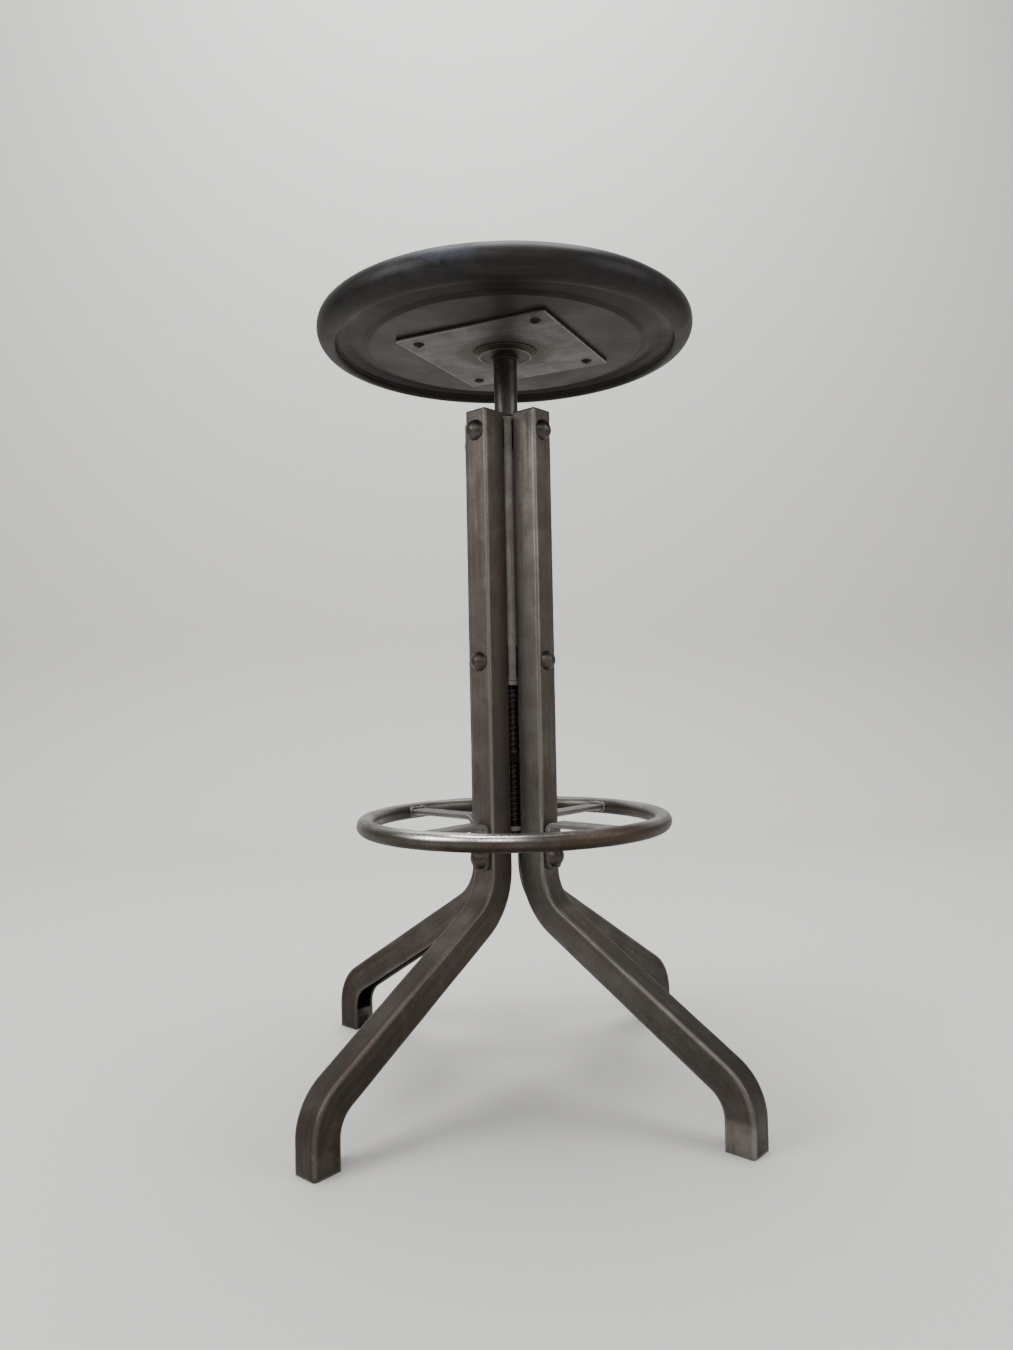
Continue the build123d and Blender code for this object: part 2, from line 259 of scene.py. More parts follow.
def mesh_of(name, rings, edge, flow, loop=False, poles=(False, False), stain=None):
    """A closed mesh from rings of points. A pole is a ring that has shrunk to one point."""
    count, around = rings.shape[:2]
    points = rings.reshape(-1, 3)
    faces = []
    first = 1 if poles[0] else 0
    last = count - 1 if poles[1] else count
    for i in range(count if loop else count - 1):
        if not loop and (i < first or i + 1 >= last):
            continue
        low, high = i * around, (i + 1) % count * around
        for j in range(around):
            k = (j + 1) % around
            faces.append((low + j, low + k, high + k, high + j))
    for end, is_pole, ring in ((0, poles[0], first), (count - 1, poles[1], last - 1)):
        if loop:
            break
        base = ring * around
        if is_pole:
            tip = end * around
            for j in range(around):
                k = (j + 1) % around
                side = (base + k, base + j) if end == 0 else (base + j, base + k)
                faces.append((tip, *side))
        else:
            cap = [base + j for j in range(around)]
            faces.append(tuple(cap[::-1] if end == 0 else cap))
    mesh = bpy.data.meshes.new(name)
    mesh.from_pydata([tuple(p) for p in points], [], faces)
    write(mesh, "edge", "FLOAT", np.asarray(edge, np.float32).ravel())
    write(mesh, "flow", "FLOAT_VECTOR", np.asarray(flow, np.float32).reshape(-1, 3))
    if stain is not None:
        write(mesh, "stain", "FLOAT", np.asarray(stain, np.float32).ravel())
    drop_loose(mesh)
    return mesh


def write(mesh, name, kind, values):
    """Stores one value or vector for each point of a mesh."""
    made = mesh.attributes.new(name, kind, "POINT")
    made.data.foreach_set("value" if kind == "FLOAT" else "vector", values.ravel())


def drop_loose(mesh):
    """Removes the points that no face uses, and makes every face look outwards."""
    work = bmesh.new()
    work.from_mesh(mesh)
    loose = [v for v in work.verts if not v.link_faces]
    bmesh.ops.delete(work, geom=loose, context="VERTS")
    bmesh.ops.recalc_face_normals(work, faces=work.faces)
    work.to_mesh(mesh)
    work.free()


def weathered(mesh, amount, size, seed=0):
    """Moves the points of a mesh along their normals by smooth noise, so that nothing is perfectly true."""
    shift = Vector((seed * 3.1, seed * 1.7, seed * 2.3))
    normals = [n.vector.copy() for n in mesh.vertex_normals]
    for v, normal in zip(mesh.vertices, normals):
        coarse = noise.noise(v.co / size + shift)
        fine = noise.noise(v.co / (size / 4) - shift)
        v.co += normal * amount * (coarse + 0.35 * fine)
    mesh.update()
    return mesh


def joined(name, meshes):
    """One mesh from several, each of which stays a closed shell of its own."""
    work = bmesh.new()
    for mesh in meshes:
        work.from_mesh(mesh)
    made = bpy.data.meshes.new(name)
    work.to_mesh(made)
    work.free()
    return made


def turned_mesh(mesh, angle):
    """Turns a mesh about the spindle's axis by an angle in degrees."""
    mesh.transform(Matrix.Rotation(math.radians(angle), 4, "Z"))
    return mesh


def swept(name, path, section, bends, ends=0.6 * MM, narrow=None, stain=None, shade_and_wear=None, seed=0):
    """A section, as (outwards, sideways), swept along a path of (radius, height) in the plane y = 0.

    stain and the darkening after it give how brown and how much darker it is at a share of its
    length, either for the whole section or for each of its points. The darkening is painted shade,
    and rubbed wear where it is below 0.
    """
    side = outward(section)
    along = np.gradient(path, axis=0)
    along /= np.linalg.norm(along, axis=1, keepdims=True)
    out = np.column_stack((-along[:, 1], along[:, 0]))
    where = lengths(path)
    # Each end is rounded in three rings, as (how far in from the end, how far inside the section)
    turns = [math.radians(a) for a in (0, 30, 60)]
    lips = [(ends * (1 - math.cos(a)), ends * (1 - math.sin(a))) for a in turns]
    first = [(path[0] + along[0] * back, along[0], out[0], 0, inset) for back, inset in lips]
    final = [(path[-1] - along[-1] * back, along[-1], out[-1], where[-1], inset) for back, inset in lips]
    stations = zip(path, along, out, where)
    inner = [(p, t, n, s, 0) for p, t, n, s in stations if ends < s < where[-1] - ends]
    rings, flow, edge = [], [], []
    round_line = lengths(section)
    wear = spread(bends, section)
    for p, _, n, s, inset in first + inner + final[::-1]:
        shape = section - side * inset
        if narrow is not None:
            shape = shape * np.array((1, narrow(s, where[-1])))
        r = p[0] + shape[:, 0] * n[0]
        z = p[1] + shape[:, 0] * n[1]
        rings.append(np.column_stack((r, shape[:, 1], z)))
        flow.append(np.column_stack((round_line, np.full(len(r), s), np.full(len(r), seed * SEED_SHIFT))))
        near = min(s, where[-1] - s)
        worn_end = math.exp(-((near / (1.2 * MM)) ** 2))
        # How much darker: painted shade, and rubbed wear where the value is below 0
        darkening = shade_and_wear(s / where[-1]) if shade_and_wear else 0
        edge.append(np.maximum(wear, worn_end) - darkening)
    stains = None
    if stain is not None:
        stains = [np.broadcast_to(stain(f[0, 1] / where[-1]), len(section)) for f in flow]
    return mesh_of(name, np.array(rings), edge, flow, stain=stains)


def lathed(name, corners, step, around, loop=False, stain=None, shade_and_wear=None, upright=False, seed=0):
    """A turned mesh from the corners of its section, as (radius, height, rounding).

    The section runs counter-clockwise: from the axis or the bore at the bottom, outwards, up and
    back in. stain gives how brown the points are, from their (radius, height, angle), and the
    darkening after it how much painted shade darkens them, from their radius. On an upright bar or
    tube the streaks run down it, and elsewhere they run round.
    """
    points, bends = rounded(corners, step, closed=loop)
    turns = np.linspace(0, 2 * math.pi, around, endpoint=False)
    where = lengths(points)
    wear = spread(bends, points)
    if shade_and_wear is not None:
        wear = wear - [shade_and_wear(r) for r, z in points]
    rings = []
    for r, z in points:
        rings.append(np.column_stack((r * np.cos(turns), r * np.sin(turns), np.full(around, z))))
    rings = np.array(rings)
    stains = None
    if stain is not None:
        stains = [[stain(r, z, a) for a in turns] for r, z in points]
    flow = rings.copy()
    flow[:, :, 0] = where[:, None] + seed * SEED_SHIFT
    flow[:, :, 1] = rings[:, :, 0]
    flow[:, :, 2] = rings[:, :, 1]
    if upright:
        flow = rings[:, :, (0, 2, 1)] * (1, 1, 3)
    edge = np.repeat(wear[:, None], around, axis=1)
    poles = (points[0][0] < 1e-6, points[-1][0] < 1e-6) if not loop else (False, False)
    return mesh_of(name, rings, edge, flow, loop=loop, poles=poles, stain=stains)


def laid_radially(mesh, distance, height):
    """Lays a mesh drawn about +Z so that it points outwards along +X."""
    mesh.transform(Matrix.Translation((distance, 0, height)) @ Matrix.Rotation(math.pi / 2, 4, "Y"))
    return mesh


def piece(name, mesh, body, material, replaced, sharp=None):
    """Puts a finished mesh in the scene, riding on its body in place of its CAD nodes.

    Faces that meet at more than sharp degrees keep a crisp edge.
    """
    mesh.shade_smooth()
    if sharp is not None:
        mesh.set_sharp_from_angle(angle=math.radians(sharp))
    mesh.materials.clear()
    mesh.materials.append(material)
    made = bpy.data.objects.new(name, mesh)
    bpy.context.scene.collection.objects.link(made)
    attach(made, body)
    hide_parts(*replaced)


# ---------------------------------------------------------------- materials


class Shader:
    """A material with one Principled shader, and short calls that add nodes to it."""

    def __init__(self, name, **constants):
        self.material = bpy.data.materials.new(name)
        self.material.use_nodes = True
        self.tree = self.material.node_tree
        self.surface = self.tree.nodes["Principled BSDF"]
        for socket, value in constants.items():
            self.surface.inputs[socket.replace("_", " ")].default_value = value

    def add(self, kind, inputs=(), **settings):
        node = self.tree.nodes.new(kind)
        for key, value in settings.items():
            setattr(node, key, value)
        for key, value in dict(inputs).items():
            if isinstance(value, bpy.types.NodeSocket):
                self.tree.links.new(value, node.inputs[key])
            else:
                node.inputs[key].default_value = value
        return node

    def place(self):
        return self.add("ShaderNodeTexCoord").outputs["Object"]

    def attribute(self, name, output):
        return self.add("ShaderNodeAttribute", attribute_name=name).outputs[output]

    def scaled(self, vector, scale):
        return self.add("ShaderNodeMapping", {"Vector": vector, "Scale": scale}).outputs["Vector"]

    def noise(self, vector, scale, detail=4.0, roughness=0.55, distortion=0.0):
        inputs = {
            "Vector": vector,
            "Scale": scale,
            "Detail": detail,
            "Roughness": roughness,
            "Distortion": distortion,
        }
        return self.add("ShaderNodeTexNoise", inputs).outputs["Fac"]

    def cells(self, vector, scale):
        return self.add("ShaderNodeTexVoronoi", {"Vector": vector, "Scale": scale}).outputs["Distance"]

    def between(self, value, low, high, to_low=0.0, to_high=1.0):
        """Maps low..high to to_low..to_high, clamped and eased."""
        inputs = {0: value, 1: low, 2: high, 3: to_low, 4: to_high}
        return self.add("ShaderNodeMapRange", inputs, interpolation_type="SMOOTHSTEP").outputs[0]

    def maths(self, operation, a, b):
        return self.add("ShaderNodeMath", {0: a, 1: b}, operation=operation).outputs[0]

    def mix(self, share, a, b):
        node = self.add("ShaderNodeMix", data_type="RGBA")
        for key, value in (("Factor", share), ("A", a), ("B", b)):
            socket = next(s for s in node.inputs if s.name == key and s.enabled)
            if isinstance(value, bpy.types.NodeSocket):
                self.tree.links.new(value, socket)
            else:
                socket.default_value = value
        return next(s for s in node.outputs if s.enabled)

    def bump(self, height, distance, strength, normal=None):
        inputs = {"Height": height, "Distance": distance, "Strength": strength}
        if normal is not None:
            inputs["Normal"] = normal
        return self.add("ShaderNodeBump", inputs).outputs["Normal"]

    def drive(self, socket, value):
        self.tree.links.new(value, self.surface.inputs[socket])


def grey(value, warm=0.0):
    """An opaque colour near grey: warm above 0 leans to brown, below 0 to blue."""
    return (value * (1 + warm), value, value * (1 - warm), 1)


def bare_steel(name, dark, light, rust, rough, streaks, polish, sheen):
    """Old bare steel: mottled patina, brown streaks along the bar, pits, scratches and rubbed edges.

    The pieces' "edge" says where they are rubbed (above 0) or darker (below 0), and their "stain"
    how brown and how much darker a face is. The edge is below 0 in concave corners and on the
    spindle's thread, and as painted shade on the ring's underside, the spokes' tabs, the lower legs,
    the boss and the plate round it; the stain carries painted shade on the ring's underside, the
    tabs, the plate and the rivets' feet, and on the ring's top the rubbed sheen is partly a painted
    highlight. dark and light are given to grey(), rough is the lowest and highest roughness, streaks
    says how much brown there is, polish how strongly the rubbed places show, and sheen how bright they are.
    """
    dark, light, rust = grey(*dark), grey(*light), (*rust, 1)
    s = Shader(name, Metallic=1.0)
    place, flow, edge = s.place(), s.attribute("flow", "Vector"), s.attribute("edge", "Fac")
    stain = s.attribute("stain", "Fac")
    clouds = s.noise(place, 38, 6, 0.62, 0.4)
    fine = s.noise(place, 420, 5, 0.68)
    grain = s.noise(s.scaled(flow, (1300, 260, 900)), 1.0, 3, 0.6)
    streak = s.noise(s.scaled(flow, (210, 7, 60)), 1.0, 5, 0.62, 0.3)
    lines = s.noise(s.scaled(flow, (2300, 11, 900)), 1.0, 3, 0.6)
    pits = s.between(s.cells(place, 560), 0.0, 0.3, 1.0, 0.0)
    pitted = s.maths("MULTIPLY", pits, s.between(s.noise(place, 75), 0.52, 0.7))

    tone = s.maths("ADD", s.maths("MULTIPLY", clouds, 0.55), s.maths("MULTIPLY", streak, 0.45))
    tone = s.maths("SUBTRACT", tone, s.maths("MULTIPLY", stain, 0.1))
    colour = s.mix(s.between(tone, 0.36, 0.64), dark, light)
    colour = s.mix(s.between(grain, 0.3, 0.75, 0.0, 0.3), colour, dark)
    browned = s.maths("ADD", streak, s.maths("MULTIPLY", stain, 0.16))
    brown = s.maths("MULTIPLY", s.between(browned, 0.48, 0.66), s.between(fine, 0.3, 0.62, 0.5, 1.0))
    colour = s.mix(s.maths("MULTIPLY", brown, streaks), colour, rust)
    colour = s.mix(s.between(fine, 0.4, 0.75, 0.0, 0.25), colour, light)
    rubbed = s.maths("MULTIPLY", s.between(edge, 0.05, 0.95), s.between(streak, 0.3, 0.62, 0.3, 1.0))
    rubbed = s.maths("MULTIPLY", rubbed, s.between(fine, 0.25, 0.6, 0.55, 1.0))
    rubbed = s.maths("MULTIPLY", rubbed, s.between(stain, 1.0, 2.0, 1.0, 0.2))
    colour = s.mix(s.maths("MULTIPLY", rubbed, polish), colour, grey(sheen, 0.03))
    height = s.add("ShaderNodeSeparateXYZ", {"Vector": place}).outputs["Z"]
    near_floor = s.between(height, KICKED[0], KICKED[1], 1.0, 0.0)
    kicked = s.maths("MULTIPLY", near_floor, s.between(clouds, 0.48, 0.62))
    colour = s.mix(s.maths("MULTIPLY", kicked, 0.45), colour, (0.2, 0.17, 0.14, 1))
    # Painted shade, and darker concave corners and thread, where the edge is below 0
    darkened = s.between(edge, -0.9, -0.05, 0.6, 0.0)
    colour = s.mix(s.maths("MAXIMUM", darkened, s.maths("MULTIPLY", pitted, 0.7)), colour, grey(0.01, 0.25))
    s.drive("Base Color", colour)

    gloss = s.maths("ADD", fine, s.maths("MULTIPLY", clouds, 0.6))
    gloss = s.between(gloss, 0.5, 1.15, rough[1], rough[0])
    gloss = s.maths("ADD", gloss, s.maths("MULTIPLY", brown, 0.12))
    gloss = s.maths("SUBTRACT", gloss, s.maths("MULTIPLY", rubbed, 0.16 * polish + 0.04))
    s.drive("Roughness", gloss)

    normal = s.bump(clouds, 0.3 * MM, 0.25)
    normal = s.bump(s.maths("SUBTRACT", fine, pitted), 0.09 * MM, 0.5, normal)
    normal = s.bump(lines, 0.03 * MM, 0.45, normal)
    s.drive("Normal", normal)
    return s.material


def lacquered_wood(name):
    """Near-black lacquer on turned wood: grain under it, turning marks, scuffs, a rubbed rim and a painted
    bluish-grey sheen on the rim.
    """
    s = Shader(name, Metallic=0.0)
    s.surface.inputs["Specular IOR Level"].default_value = 0.16
    s.surface.inputs["Coat Weight"].default_value = 0.03
    s.surface.inputs["Coat Roughness"].default_value = 0.2
    place, flow, edge = s.place(), s.attribute("flow", "Vector"), s.attribute("edge", "Fac")
    patch = s.attribute("stain", "Fac")
    grain = s.noise(s.scaled(place, (9, 210, 120)), 1.0, 6, 0.62, 0.15)
    pores = s.noise(s.scaled(place, (60, 1500, 900)), 1.0, 3, 0.6)
    clouds = s.noise(place, 15, 5, 0.6, 0.4)
    mist = s.noise(place, 48, 6, 0.7, 0.6)
    rings = s.noise(s.scaled(flow, (900, 3, 3)), 1.0, 3, 0.55)
    scuffs = s.noise(s.scaled(place, (70, 70, 220)), 1.0, 6, 0.72, 1.1)
    specks = s.cells(place, 190)

    colour = s.mix(s.between(clouds, 0.3, 0.7), (0.0075, 0.0065, 0.006, 1), (0.0155, 0.012, 0.0105, 1))
    colour = s.mix(s.between(grain, 0.45, 0.7, 0.0, 0.5), colour, (0.026, 0.018, 0.0135, 1))
    # A painted bluish-grey sheen on the rim, where the stain attribute puts it
    painted_sheen = s.maths("MULTIPLY", patch, s.between(mist, 0.34, 0.6))
    colour = s.mix(painted_sheen, colour, (0.05, 0.058, 0.08, 1))
    worn = s.maths("MULTIPLY", s.between(edge, 0.0, 1.0, 0.05, 0.35), s.between(scuffs, 0.56, 0.74))
    colour = s.mix(worn, colour, (0.075, 0.068, 0.064, 1))
    colour = s.mix(s.between(edge, -0.9, -0.1, 0.7, 0.0), colour, (0.004, 0.0035, 0.003, 1))
    colour = s.mix(s.between(specks, 0.0, 0.05, 0.4, 0.0), colour, (0.085, 0.07, 0.06, 1))
    s.drive("Base Color", colour)

    gloss = s.between(clouds, 0.3, 0.7, 0.4, 0.56)
    gloss = s.maths("ADD", gloss, s.maths("MULTIPLY", s.maths("MAXIMUM", worn, painted_sheen), 0.16))
    s.drive("Roughness", gloss)
    normal = s.bump(grain, 0.1 * MM, 0.3)
    normal = s.bump(rings, 0.025 * MM, 0.4, normal)
    normal = s.bump(s.maths("ADD", pores, s.maths("MULTIPLY", scuffs, 0.6)), 0.04 * MM, 0.5, normal)
    s.drive("Normal", normal)
    return s.material


def make_materials():
    """Every material of the stool by the record's slot, and one more, boss_steel, for the boss."""
    brown = (0.078, 0.052, 0.034)
    # Dark and light tone as (value, warmth), brown, range of roughness, streaks, polish and sheen
    steels = {
        "leg_steel": ((0.082, 0.14), (0.155, 0.1), brown, (0.4, 0.58), 0.7, 0.5, 0.3),
        # The ring's bright sheen is partly a painted highlight on its rubbed top
        "ring_steel": ((0.055, 0.14), (0.14, 0.08), (0.072, 0.047, 0.032), (0.3, 0.5), 0.8, 1.0, 0.92),
        "spoke_steel": ((0.11, 0.08), (0.22, 0.06), (0.06, 0.043, 0.032), (0.38, 0.56), 0.55, 0.5, 0.4),
        "plate_steel": ((0.07, 0.08), (0.125, 0.06), brown, (0.42, 0.6), 0.4, 0.6, 0.3),
        "tube_steel": ((0.145, 0.1), (0.235, 0.07), (0.14, 0.09, 0.06), (0.5, 0.7), 0.8, 0.3, 0.35),
        "spindle_steel": ((0.045, 0.1), (0.13, 0.06), (0.06, 0.04, 0.028), (0.36, 0.54), 0.6, 0.3, 0.2),
        "rivet_steel": ((0.05, 0.1), (0.14, 0.06), brown, (0.3, 0.46), 0.45, 0.3, 0.22),
        "boss_steel": ((0.022, 0.3), (0.07, 0.2), (0.045, 0.022, 0.015), (0.42, 0.6), 0.8, 0.8, 0.3),
        "dark_steel": ((0.012, 0.1), (0.032, 0.08), (0.022, 0.015, 0.011), (0.42, 0.62), 0.5, 0.5, 0.1),
        "insert_steel": ((0.014, 0.1), (0.04, 0.08), (0.03, 0.02, 0.014), (0.5, 0.68), 0.5, 0.4, 0.1),
    }
    made = {name: bare_steel(name, *look) for name, look in steels.items()}
    made["seat_wood"] = lacquered_wood("seat_wood")
    return made


# ---------------------------------------------------------------- pieces of the frame


def channel_section():
    """The U of a leg, as (outwards, sideways), with the web's outer face at 0."""
    half, inner = CHANNEL_WIDTH / 2, CHANNEL_WIDTH / 2 - WALL
    corners = [
        (0, -half, CHANNEL_ROUND),
        (0, half, CHANNEL_ROUND),
        (-CHANNEL_DEPTH, half, FREE_EDGE),
        (-CHANNEL_DEPTH, inner, FREE_EDGE),
        (-WALL, inner, CHANNEL_FILLET),
        (-WALL, -inner, CHANNEL_FILLET),
        (-CHANNEL_DEPTH, -inner, FREE_EDGE),
        (-CHANNEL_DEPTH, -half, FREE_EDGE),
    ]
    return rounded(corners, 1.6 * MM)


def make_leg(place, angle, material):
    """One bent channel."""
    section, bends = channel_section()
    route = [
        (WEB_RADIUS, COLUMN_TOP),
        (WEB_RADIUS, UPPER_CORNER, UPPER_BEND),
        (FOOT_RADIUS, LOWER_CORNER, LOWER_BEND),
        (FOOT_RADIUS, 0),
    ]
    path = rounded(route, 2.6 * MM, closed=False)[0]
    web, right, left = LEG_STAINS[place]
    flat = CHANNEL_WIDTH / 2 - WALL
    faces = np.where(section[:, 1] > flat, right, np.where(section[:, 1] < -flat, left, web))
    # The front right leg's left flange is rubbed bare at the foot
    worn_foot = np.where((section[:, 1] < -flat) & (place == "front_right"), 1.1, 0)

    # Painted shade darkens each leg from halfway down, more towards the foot; at the very foot the worn
    # flange is rubbed instead
    def shade_and_wear(share):
        return 0.75 * ramp(share, 0.5, 0.9) - worn_foot * ramp(share, 0.96, 0.974)

    mesh = swept(
        f"channel_{place}", path, section, bends, stain=lambda share: faces, shade_and_wear=shade_and_wear, seed=angle
    )
    turned_mesh(weathered(mesh, 0.16 * MM, 28 * MM, angle), angle)
    piece(f"channel_{place}", mesh, "frame", material, [f"leg_{place}"])


def make_insert(place, angle, material):
    """The block in the end of a leg's channel."""
    half = CHANNEL_WIDTH / 2 - WALL - 0.05 * MM
    low, high = -CHANNEL_DEPTH + 0.1 * MM, -WALL
    section, bends = rounded(rectangle(low, high, half, MM), 1.5 * MM)
    path = rounded([(FOOT_RADIUS, INSERT_TOP), (FOOT_RADIUS, 0)], 1.5 * MM, closed=False)[0]
    mesh = swept(f"insert_{place}", path, section, bends, 0.8 * MM, seed=angle)
    turned_mesh(weathered(mesh, 0.1 * MM, 9 * MM, angle), angle)
    piece(f"insert_{place}", mesh, "frame", material, [f"foot_insert_{place}"])


def ring_polish_and_highlight(angle):
    """How polished the ring is on top, a polish that also paints its highlight, and how rusty, where it is
    at an angle from +X.
    """
    front = math.remainder(angle - math.radians(POLISH_AND_HIGHLIGHT_AT), 2 * math.pi)
    rusty = math.remainder(angle - math.radians(RUSTY_AT), 2 * math.pi)
    patches = noise.noise(Vector((2.5 * math.cos(angle), 2.5 * math.sin(angle), 7.7)))
    polish = 0.2 + 0.95 * math.exp(-((front / RING_REACH) ** 4)) + 0.25 * patches
    rust = 0.4 + 1.6 * math.exp(-((rusty / RING_REACH) ** 4)) + 0.7 * patches
    return min(1, max(0, polish)), rust


def make_ring(material):
    """The footrest ring, rubbed slightly flat on top where feet rest."""
    around = 40
    turns = np.linspace(0, 2 * math.pi, around, endpoint=False)
    angles = np.linspace(0, 2 * math.pi, 420, endpoint=False)
    rings, flow, edge, stain = [], [], [], []
    for a in angles:
        rub = 0.35 * MM + 0.25 * MM * noise.noise(Vector((3 * math.cos(a), 3 * math.sin(a), 0.4)))
        polish, rust = ring_polish_and_highlight(a)
        r = RING_BAR * np.cos(turns)
        z = RING_BAR * np.sin(turns)
        z = z - rub * np.clip((z / RING_BAR - 0.8) / 0.2, 0, 1) ** 2
        radius = RING_RADIUS + r
        rings.append(np.column_stack((radius * math.cos(a), radius * math.sin(a), RING_Z + z)))
        path = np.full(around, a * RING_RADIUS)
        flow.append(np.column_stack((turns * RING_BAR, path, np.zeros(around))))
        # The top of the bar is rubbed bright, real polish with a painted highlight on it; painted shade
        # darkens and browns its underside
        rubbed = polish * np.clip(2.2 * np.sin(turns) - 0.25, 0, 1)
        edge.append(rubbed - 0.75 * np.clip(-1.8 * np.sin(turns), 0, 1))
        stain.append(rust - 1.1 * np.sin(turns))
    mesh = mesh_of("footrest_bar", np.array(rings), edge, flow, loop=True, stain=stain)
    weathered(mesh, 0.12 * MM, 12 * MM, 5)
    piece("footrest_bar", mesh, "frame", material, ["footrest_ring"])


def make_spoke(place, angle, material):
    """A flat bar from the ring to the web, bent down into a rounded tab."""
    half, thick = SPOKE_WIDTH / 2, SPOKE_THICK / 2
    section, bends = rounded(rectangle(-thick, thick, half, MM), 1.5 * MM)
    tab = WEB_RADIUS + thick
    route = [(RING_RADIUS - RING_BAR * 0.7, RING_Z), (tab, RING_Z, 7 * MM), (tab, TAB_END)]
    path = rounded(route, 1.2 * MM, closed=False)[0]
    corner = SPOKE_WIDTH / 4

    def narrow(s, whole):
        gap = min(corner, whole - s)
        return 1 - (corner - math.sqrt(corner**2 - (corner - gap) ** 2)) / half

    # The tab, beyond the bend, is painted darker and browner than the spoke: painted shade below the bend
    bend = (path[0][0] - tab) / lengths(path)[-1]

    def below(share):
        return ramp(share, bend, bend + 0.06)

    mesh = swept(
        f"spoke_{place}",
        path,
        section,
        bends,
        narrow=narrow,
        stain=lambda share: 2.6 * below(share),
        shade_and_wear=lambda share: 0.6 * below(share),
        seed=angle + 7,
    )
    turned_mesh(weathered(mesh, 0.12 * MM, 12 * MM, angle), angle)
    piece(f"spoke_{place}", mesh, "frame", material, [f"footrest_spoke_{place}"])


def make_weld(place, angle, material):
    """The lumpy bead of weld round a spoke's end, on the inside of the ring's bar."""
    half, thick = SPOKE_WIDTH / 2 + 0.4 * MM, SPOKE_THICK / 2 + 0.5 * MM
    line = rounded(rectangle(-half, half, thick, 2 * MM), 0.7 * MM)[0]
    where = lengths(line)
    across = outward(line)
    rings, flow, edge = [], [], []
    turns = np.linspace(0, 2 * math.pi, 12, endpoint=False)
    for (y, z), (ny, nz), s in zip(line, across, where):
        depth = RING_RADIUS - math.sqrt(RING_BAR**2 - min(z * z, RING_BAR**2))
        x = math.sqrt(depth**2 - y * y) + 0.3 * MM
        lump = 1 + 0.16 * math.sin(s / (0.55 * MM)) + 0.35 * noise.noise(Vector((s / 0.004, angle, 1.5)))
        r = 2.0 * MM * lump
        inwards, sideways = r * np.cos(turns), r * np.sin(turns)
        rings.append(np.column_stack((x - inwards, y + ny * sideways, RING_Z + z + nz * sideways)))
        flow.append(np.column_stack((turns * r, np.full(12, s), np.full(12, angle))))
        edge.append(0.35 * np.cos(turns))
    mesh = mesh_of(f"weld_{place}", np.array(rings), edge, flow, loop=True)
    turned_mesh(mesh, angle)
    piece(f"weld_{place}", mesh, "frame", material, [])


def dome_profile(radius, rise, count=10):
    """Points from the top of a dome at (0, 0) out to its foot, as (radius, drop)."""
    ball = (radius**2 + rise**2) / (2 * rise)
    top = math.asin(radius / ball)
    turns = [top * i / count for i in range(count + 1)]
    return [(ball * math.sin(a), ball * (1 - math.cos(a))) for a in turns]


def rivet_mesh(name, radius, brown, seed, grip=14 * MM):
    """A dome-headed rivet along +Z, its head on z = 0, hammered slightly out of true."""
    corners = [(0, -grip), (RIVET_SHANK, -grip), (RIVET_SHANK, -0.2 * MM), (radius - 0.5 * MM, -0.2 * MM)]
    corners += [(radius, 0.15 * MM)]
    corners += [(r, RIVET_DOME - drop) for r, drop in dome_profile(radius, RIVET_DOME, 12)[-2::-1]]
    # The head's foot, below 1 mm, is painted darker and browner: painted shade where the head meets the
    # steel under it
    mesh = lathed(name, corners, 0.6 * MM, 48, stain=lambda r, z, a: brown + 4 * (z < MM), seed=seed)
    return weathered(mesh, 0.2 * MM, 8 * MM, seed)


def make_rivets(row, material):
    """One row of four rivets."""
    height, distance, radius = RIVET_ROWS[row]
    brown = 1.6 if row == "footrest_rivets" else 0.5
    meshes = []
    for i, angle in enumerate(LEG_ANGLES.values()):
        mesh = rivet_mesh(f"{row}_{i}", radius, brown, i + 4 * len(row))
        meshes.append(turned_mesh(laid_radially(mesh, distance, height), angle))
    name = row.replace("rivets", "rivet_heads")
    piece(name, joined(name, meshes), "frame", material, [row], sharp=50)


def ring_section(node, bore, edge=0.5 * MM):
    """The section of a plain turned part, from its bore and its CAD box."""
    low, high, _ = size_of(node)
    return [(bore, low.z, edge), (high.x, low.z, edge), (high.x, high.z, edge), (bore, high.z, edge)]


def make_column_core(materials):
    """The guide tube, its bush and its nut."""
    section = ring_section("guide_tube", TUBE_BORE)
    tube = lathed("column_tube", section, 3 * MM, 72, loop=True, upright=True)
    piece("column_tube", tube, "frame", materials["tube_steel"], ["guide_tube"])
    low, high, _ = size_of("upper_bush")
    lip = high.z - BUSH_LIP
    corners = [
        (BUSH_BORE, low.z, 0.3 * MM),
        (INSIDE_TUBE, low.z, 0.3 * MM),
        (INSIDE_TUBE, lip),
        (high.x, lip, 0.4 * MM),
        (high.x, high.z, 0.5 * MM),
        (BUSH_BORE, high.z, 0.5 * MM),
    ]
    bush = lathed("column_bush", corners, 1.5 * MM, 72, loop=True)
    piece("column_bush", bush, "frame", materials["dark_steel"], ["upper_bush"])
    low, high, _ = size_of("spindle_nut")
    flange = low.z + NUT_FLANGE
    corners = [
        (NUT_BORE, low.z, 0.6 * MM),
        (high.x, low.z, 0.8 * MM),
        (high.x, flange, 0.8 * MM),
        (INSIDE_TUBE, flange),
        (INSIDE_TUBE, high.z, 0.4 * MM),
        (NUT_BORE, high.z, 0.6 * MM),
    ]
    nut = lathed("column_nut", corners, 1.5 * MM, 72, loop=True)
    piece("column_nut", nut, "frame", materials["tube_steel"], ["spindle_nut"])


